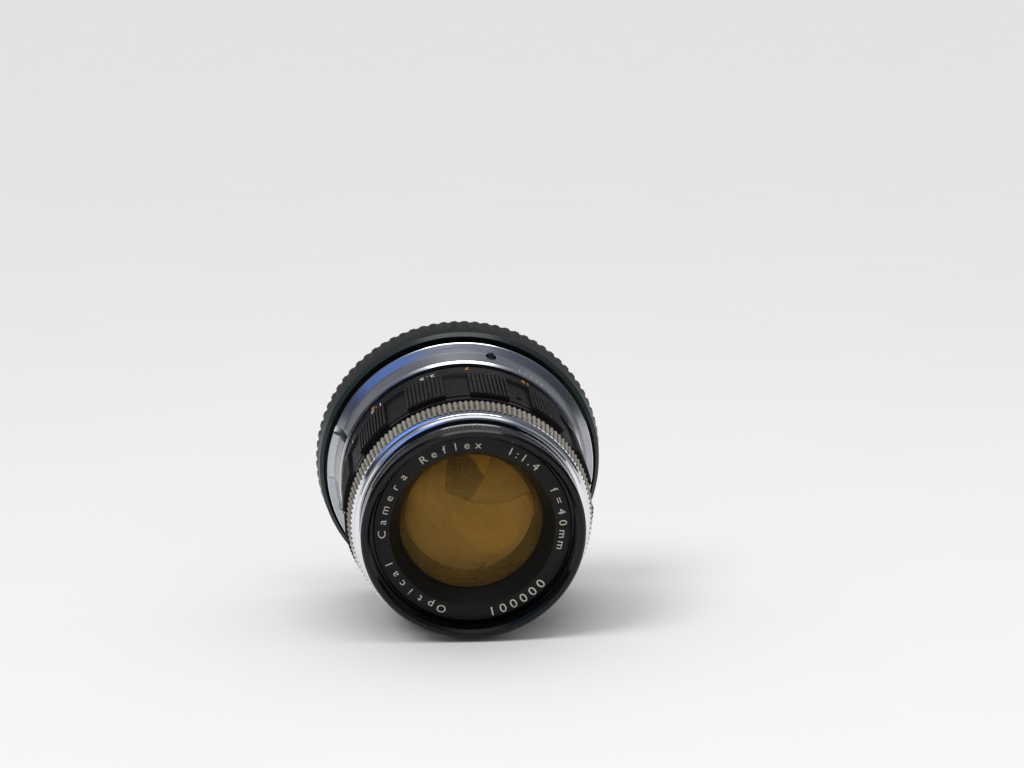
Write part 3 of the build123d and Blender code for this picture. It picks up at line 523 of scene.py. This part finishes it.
def lens_piece(name, material, edge_paint):
    """Finely faceted lens in the place of a CAD element, its ground edge painted black."""
    points = [(math.hypot(v.co.x, v.co.z), v.co.y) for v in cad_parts[name].data.vertices]
    edge = max(radius for radius, y in points)
    front = [(r, y + GLASS_CLEARANCE) for r, y in face_profile(points, edge, True)]
    rear = [(r, y - GLASS_CLEARANCE) for r, y in face_profile(points, edge, False)]
    profile = front + rear[::-1]
    vertices, faces = turned_faces(profile)
    edge_steps = range(GLASS_RINGS, len(profile) - 1 - GLASS_RINGS)
    mesh = bpy.data.meshes.new(name + "_glass")
    mesh.from_pydata(vertices, [], [corners for index, corners in faces])
    mesh.materials.append(material)
    mesh.materials.append(edge_paint)
    mesh.polygons.foreach_set("material_index", [int(index in edge_steps) for index, corners in faces])
    smooth(mesh)
    mesh.set_sharp_from_angle(angle=math.radians(30.0))
    piece = link(bpy.data.objects.new(name + "_glass", mesh))
    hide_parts(name)
    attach(piece, "lens_block")


def make_glass():
    golden, faint = (0.26, 0.19, 0.08), (0.05, 0.045, 0.03)
    amber = optical_glass("amber_glass", (0.95, 0.84, 0.58), 1.85, golden, 0.088)
    deep_amber = optical_glass("deep_amber_glass", (0.95, 0.83, 0.56), 1.85, golden, 0.02)
    rear_amber = optical_glass("rear_amber_glass", (0.94, 0.84, 0.62), 1.80, faint)
    clear = optical_glass("clear_glass", (0.96, 0.94, 0.88), 1.60, faint)
    edge_paint = ink("glass_edge_paint", (0.010, 0.009, 0.008), 0.6)
    lens_piece("element_1", amber, edge_paint)
    lens_piece("element_2", deep_amber, edge_paint)
    for name in ("element_5", "element_6", "element_7"):
        lens_piece(name, rear_amber, edge_paint)
    for name in ("element_3", "element_4"):
        lens_piece(name, clear, edge_paint)


# ---------------------------------------------------------------- lettering
GLYPH_DEPTH = 0.03 * MM
GLYPH_WIDENING = 1.14


def glyph_mesh(character, height):
    """Solid figure of the given height, centred across, standing on its base line."""
    curve = bpy.data.curves.new("glyph", "FONT")
    curve.body = character
    curve.size = height / 0.72
    curve.extrude = GLYPH_DEPTH / 2
    curve.resolution_u = 4
    holder = link(bpy.data.objects.new("glyph", curve))
    bpy.context.view_layer.update()
    evaluated = holder.evaluated_get(bpy.context.evaluated_depsgraph_get())
    mesh = bpy.data.meshes.new_from_object(evaluated)
    bpy.data.objects.remove(holder)
    bpy.data.curves.remove(curve)
    middle = (min(v.co.x for v in mesh.vertices) + max(v.co.x for v in mesh.vertices)) / 2
    mesh.transform(Matrix.Scale(GLYPH_WIDENING, 4, (1, 0, 0)) @ Matrix.Translation((-middle, 0, 0)))
    return mesh


def gather(name, placed, material, body):
    """One object from (mesh, matrix) pairs, riding on a body."""
    joined = bmesh.new()
    for mesh, matrix in placed:
        mesh.transform(matrix)
        joined.from_mesh(mesh)
        bpy.data.meshes.remove(mesh)
    bmesh.ops.remove_doubles(joined, verts=joined.verts, dist=1e-7)
    result = bpy.data.meshes.new(name)
    joined.to_mesh(result)
    joined.free()
    result.materials.append(material)
    obj = link(bpy.data.objects.new(name, result))
    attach(obj, body)


def axes_matrix(across, up, out, place):
    """Placement with these three axes at a place."""
    matrix = Matrix((across, up, out)).transposed().to_4x4()
    matrix.translation = place
    return matrix


def ring_text(words, radius, face_y):
    """Words around a front face; each is (text, first clock angle, last clock angle, height)."""
    placed = []
    for text, first, last, height in words:
        for index, character in enumerate(text):
            clock = math.radians(first + (last - first) * index / (len(text) - 1))
            out = clock_direction(clock)
            across = Vector((math.cos(clock), 0.0, -math.sin(clock)))
            place = out * radius + Vector((0.0, face_y, 0.0))
            placed.append((glyph_mesh(character, height),
                           axes_matrix(across, out, Vector((0.0, -1.0, 0.0)), place)))
    return placed


def barrel_text(figures, y, radius, height, spacing, slope=0.0):
    """Figures on a barrel, read from behind the lens, so their tops point to the front.

    On a cone, slope is the angle by which it narrows to the front.
    """
    placed = []
    for text, degrees in figures:
        for index, character in enumerate(text):
            clock = math.radians(degrees) - (index - (len(text) - 1) / 2) * spacing / radius
            spoke = clock_direction(clock)
            across = Vector((-math.cos(clock), 0.0, math.sin(clock)))
            up = Vector((0.0, -math.cos(slope), 0.0)) - spoke * math.sin(slope)
            out = spoke * math.cos(slope) - Vector((0.0, math.sin(slope), 0.0))
            place = spoke * radius + Vector((0.0, y, 0.0))
            placed.append((glyph_mesh(character, height), axes_matrix(across, up, out, place)))
    return placed


def letter_name_ring():
    """Generic words and figures around the name ring."""
    letter, digit = 1.65 * MM, 2.0 * MM
    words = [("Optical", 200, 247, letter), ("Camera", 268, 310, letter), ("Reflex", 327, 363, letter),
             ("1:1.4", 24, 43, 1.7 * MM), ("f=40mm", 63, 102, letter), ("000001", 131, 167, digit)]
    base_radius = node_radius("name_ring") - 2.5 * MM
    placed = ring_text(words, base_radius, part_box("name_ring")[0].y)
    cream = ink("name_cream", (0.60, 0.57, 0.49), 0.45)
    gather("name_lettering", placed, cream, "lens_block")


def letter_focus_ring(white):
    """Distance figures: metres in white and feet in orange."""
    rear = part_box("focus_ring")[1].y
    metres = [("0.35", -152), ("0.4", -136), ("0.5", -117), ("0.6", -101), ("0.8", -84), ("1", -66),
              ("1.5", -46), ("2.5", -18), ("10", 150)]
    feet = [("1.2", -150), ("1.5", -128), ("2", -106), ("3", -76), ("5", -48), ("7", 1), ("15", 30),
            ("30", 62)]
    height, spacing = 1.5 * MM, 1.15 * MM
    orange = ink("scale_orange", (0.75, 0.33, 0.03), 0.45)
    for name, figures, inset, paint in (("metre_figures", metres, 3.9 * MM, white),
                                        ("feet_figures", feet, 2.15 * MM, orange)):
        placed = barrel_text(figures, rear - inset, FOCUS_SCALE_RADIUS, height, spacing)
        gather(name, placed, paint, "focus_ring")


def mark_base_ring(white):
    """Five short strokes engraved near the front of the base ring."""
    strokes = [("|", clock) for clock in (27.0, 30.0, 33.2, 36.5, 39.5)]
    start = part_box("base_ring")[0].y + 1.3 * MM
    placed = barrel_text(strokes, start, BASE_CONE_RADIUS, 0.62 * MM, 1.0 * MM, BASE_CONE_SLOPE)
    gather("base_strokes", placed, white, "mount")


# ---------------------------------------------------------------- setting
def row_axes():
    """The frame's X, Y and Z directions as the camera sees them: right, down and ahead."""
    lift = CAMERA_PITCH + math.asin(math.sin(TILT) / math.cos(LENS_YAW))
    lens_y = -Vector((math.sin(LENS_YAW), math.sin(lift) * math.cos(LENS_YAW),
                      -math.cos(lift) * math.cos(LENS_YAW)))
    up = Vector((0.0, -math.cos(CAMERA_PITCH), -math.sin(CAMERA_PITCH)))
    lens_z = ((up - lens_y * math.sin(TILT)) / math.cos(TILT)).normalized()
    return Matrix((lens_y.cross(lens_z).normalized(), lens_y, lens_z))


def make_camera():
    """Camera at its measured place; returns the directions ahead of it and to its right."""
    to_row = row_axes()
    front_centre = Vector((0.0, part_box("filter_ring")[0].y, 0.0))
    seen = Vector((CAMERA_OFFSET[0], CAMERA_OFFSET[1], CAMERA_DISTANCE))
    camera = bpy.data.cameras.new("camera")
    camera.lens = FOCAL_LENGTH
    camera.sensor_width = 36.0
    camera.clip_start = 0.01
    camera.clip_end = 60.0
    obj = link(bpy.data.objects.new("camera", camera))
    right, down, ahead = (to_row @ Vector(axis) for axis in ((1, 0, 0), (0, 1, 0), (0, 0, 1)))
    obj.matrix_world = axes_matrix(right, -down, -ahead, front_centre - to_row @ seen)
    bpy.context.scene.camera = obj
    level = (ahead - UP * ahead.dot(UP)).normalized()
    return level, level.cross(UP)


def make_floor():
    """Wide pale floor that the lens lies on, square to the resting lens and clear from below."""
    half = FLOOR_HALF_WIDTH
    along = Vector((0.0, math.cos(TILT), -math.sin(TILT)))
    side = Vector((1.0, 0.0, 0.0))
    foot = UP * FLOOR_HEIGHT
    signs = ((-1, -1), (1, -1), (1, 1), (-1, 1))
    corners = [foot + side * (half * across) + along * (half * back) for across, back in signs]
    mesh = bpy.data.meshes.new("floor")
    mesh.from_pydata(corners, [], [(0, 1, 2, 3)])
    floor = link(bpy.data.objects.new("floor", mesh))
    shader = Shader("floor_paper", (0.86, 0.86, 0.86), 0.75, specular=0.2)
    shader.colour(shader.blend(shader.noise(0.02, 3.0), (0.87, 0.87, 0.87), (0.85, 0.85, 0.852)))
    underneath = shader.node("ShaderNodeNewGeometry").outputs["Backfacing"]
    clear = shader.node("ShaderNodeBsdfTransparent")
    surface = shader.mix_shaders(underneath, shader.bsdf.outputs[0], clear.outputs[0])
    shader.join(surface, shader.output.inputs["Surface"])
    mesh.materials.append(shader.material)


def from_angles(ahead, side, elevation, azimuth):
    """Direction at an elevation, and at an azimuth to the right of straight ahead."""
    flat = ahead * math.cos(math.radians(azimuth)) + side * math.sin(math.radians(azimuth))
    return flat * math.cos(math.radians(elevation)) + UP * math.sin(math.radians(elevation))


def make_lamps(ahead, side):
    """Soft key from the left that casts the shadow, and a softbox above the camera."""
    lens_middle = Vector((0.0, -0.02, 0.0))
    sun = bpy.data.lights.new("key", "SUN")
    sun.energy = KEY_STRENGTH
    sun.angle = KEY_WIDTH
    key = link(bpy.data.objects.new("key", sun))
    beam = side * KEY_ASIDE - UP * KEY_DOWN + ahead * KEY_AHEAD
    key.rotation_euler = beam.to_track_quat("-Z", "Y").to_euler()
    key.visible_glossy = False
    box = bpy.data.lights.new("softbox", "AREA")
    box.shape = "RECTANGLE"
    box.size, box.size_y = SOFTBOX_SIZE
    box.energy = SOFTBOX_POWER
    lamp = link(bpy.data.objects.new("softbox", box))
    lamp.location = lens_middle + from_angles(ahead, side, 66.0, 170.0) * SOFTBOX_DISTANCE
    lamp.rotation_euler = (lens_middle - lamp.location).to_track_quat("-Z", "Y").to_euler()


def make_room(ahead, side):
    """Room around the set: an even fill for diffuse light, and what the metal mirrors."""
    world = bpy.data.worlds.new("room")
    bpy.context.scene.world = world
    world.use_nodes = True
    room = Nodes(world.node_tree)
    direction = room.node("ShaderNodeTexCoord").outputs["Generated"]

    def towards(vector):
        product = room.node("ShaderNodeVectorMath", operation="DOT_PRODUCT")
        room.join(direction, product.inputs[0])
        product.inputs[1].default_value = vector
        return product.outputs["Value"]

    height = towards(UP)
    below_zenith = room.ramp(height, 0.95, 0.55)
    backdrop = room.maths("MULTIPLY", room.ramp(towards(ahead), -0.1, 0.4), below_zenith)
    mirrored = room.blend(room.ramp(height, 0.1, 0.8), (0.055, 0.06, 0.075), (0.22, 0.24, 0.29))
    mirrored = room.blend(backdrop, mirrored, (0.36, 0.36, 0.365))
    window = room.ramp(towards(from_angles(ahead, side, 22.0, -150.0)), 0.90, 0.98)
    mirrored = room.blend(window, mirrored, (0.24, 0.42, 0.95))
    overhead = room.ramp(towards(from_angles(ahead, side, 85.0, 180.0)), 0.77, 0.87)
    mirrored = room.blend(overhead, mirrored, (0.95, 0.95, 0.96))
    path = room.node("ShaderNodeLightPath")
    fill = room.blend(room.ramp(height, 0.2, 1.0), (0.40, 0.40, 0.40), (0.84, 0.84, 0.84))
    colour = room.blend(path.outputs["Is Diffuse Ray"], mirrored, fill)
    colour = room.blend(path.outputs["Is Camera Ray"], colour, (0.76, 0.76, 0.76))
    background = world.node_tree.nodes["Background"]
    room.join(colour, background.inputs["Color"])


paint_nodes()
make_glass()
letter_name_ring()
scale_white = ink("scale_white", (0.72, 0.71, 0.66), 0.45)
letter_focus_ring(scale_white)
mark_base_ring(scale_white)
make_floor()
camera_ahead, camera_side = make_camera()
make_lamps(camera_ahead, camera_side)
make_room(camera_ahead, camera_side)

scene = bpy.context.scene
scene.view_settings.view_transform = "Standard"
scene.view_settings.exposure = 0.13
scene.view_settings.gamma = 0.87
scene.cycles.max_bounces = 24
scene.cycles.transmission_bounces = 24
scene.cycles.transparent_max_bounces = 32
scene.cycles.glossy_bounces = 8
scene.cycles.sample_clamp_indirect = 6.0
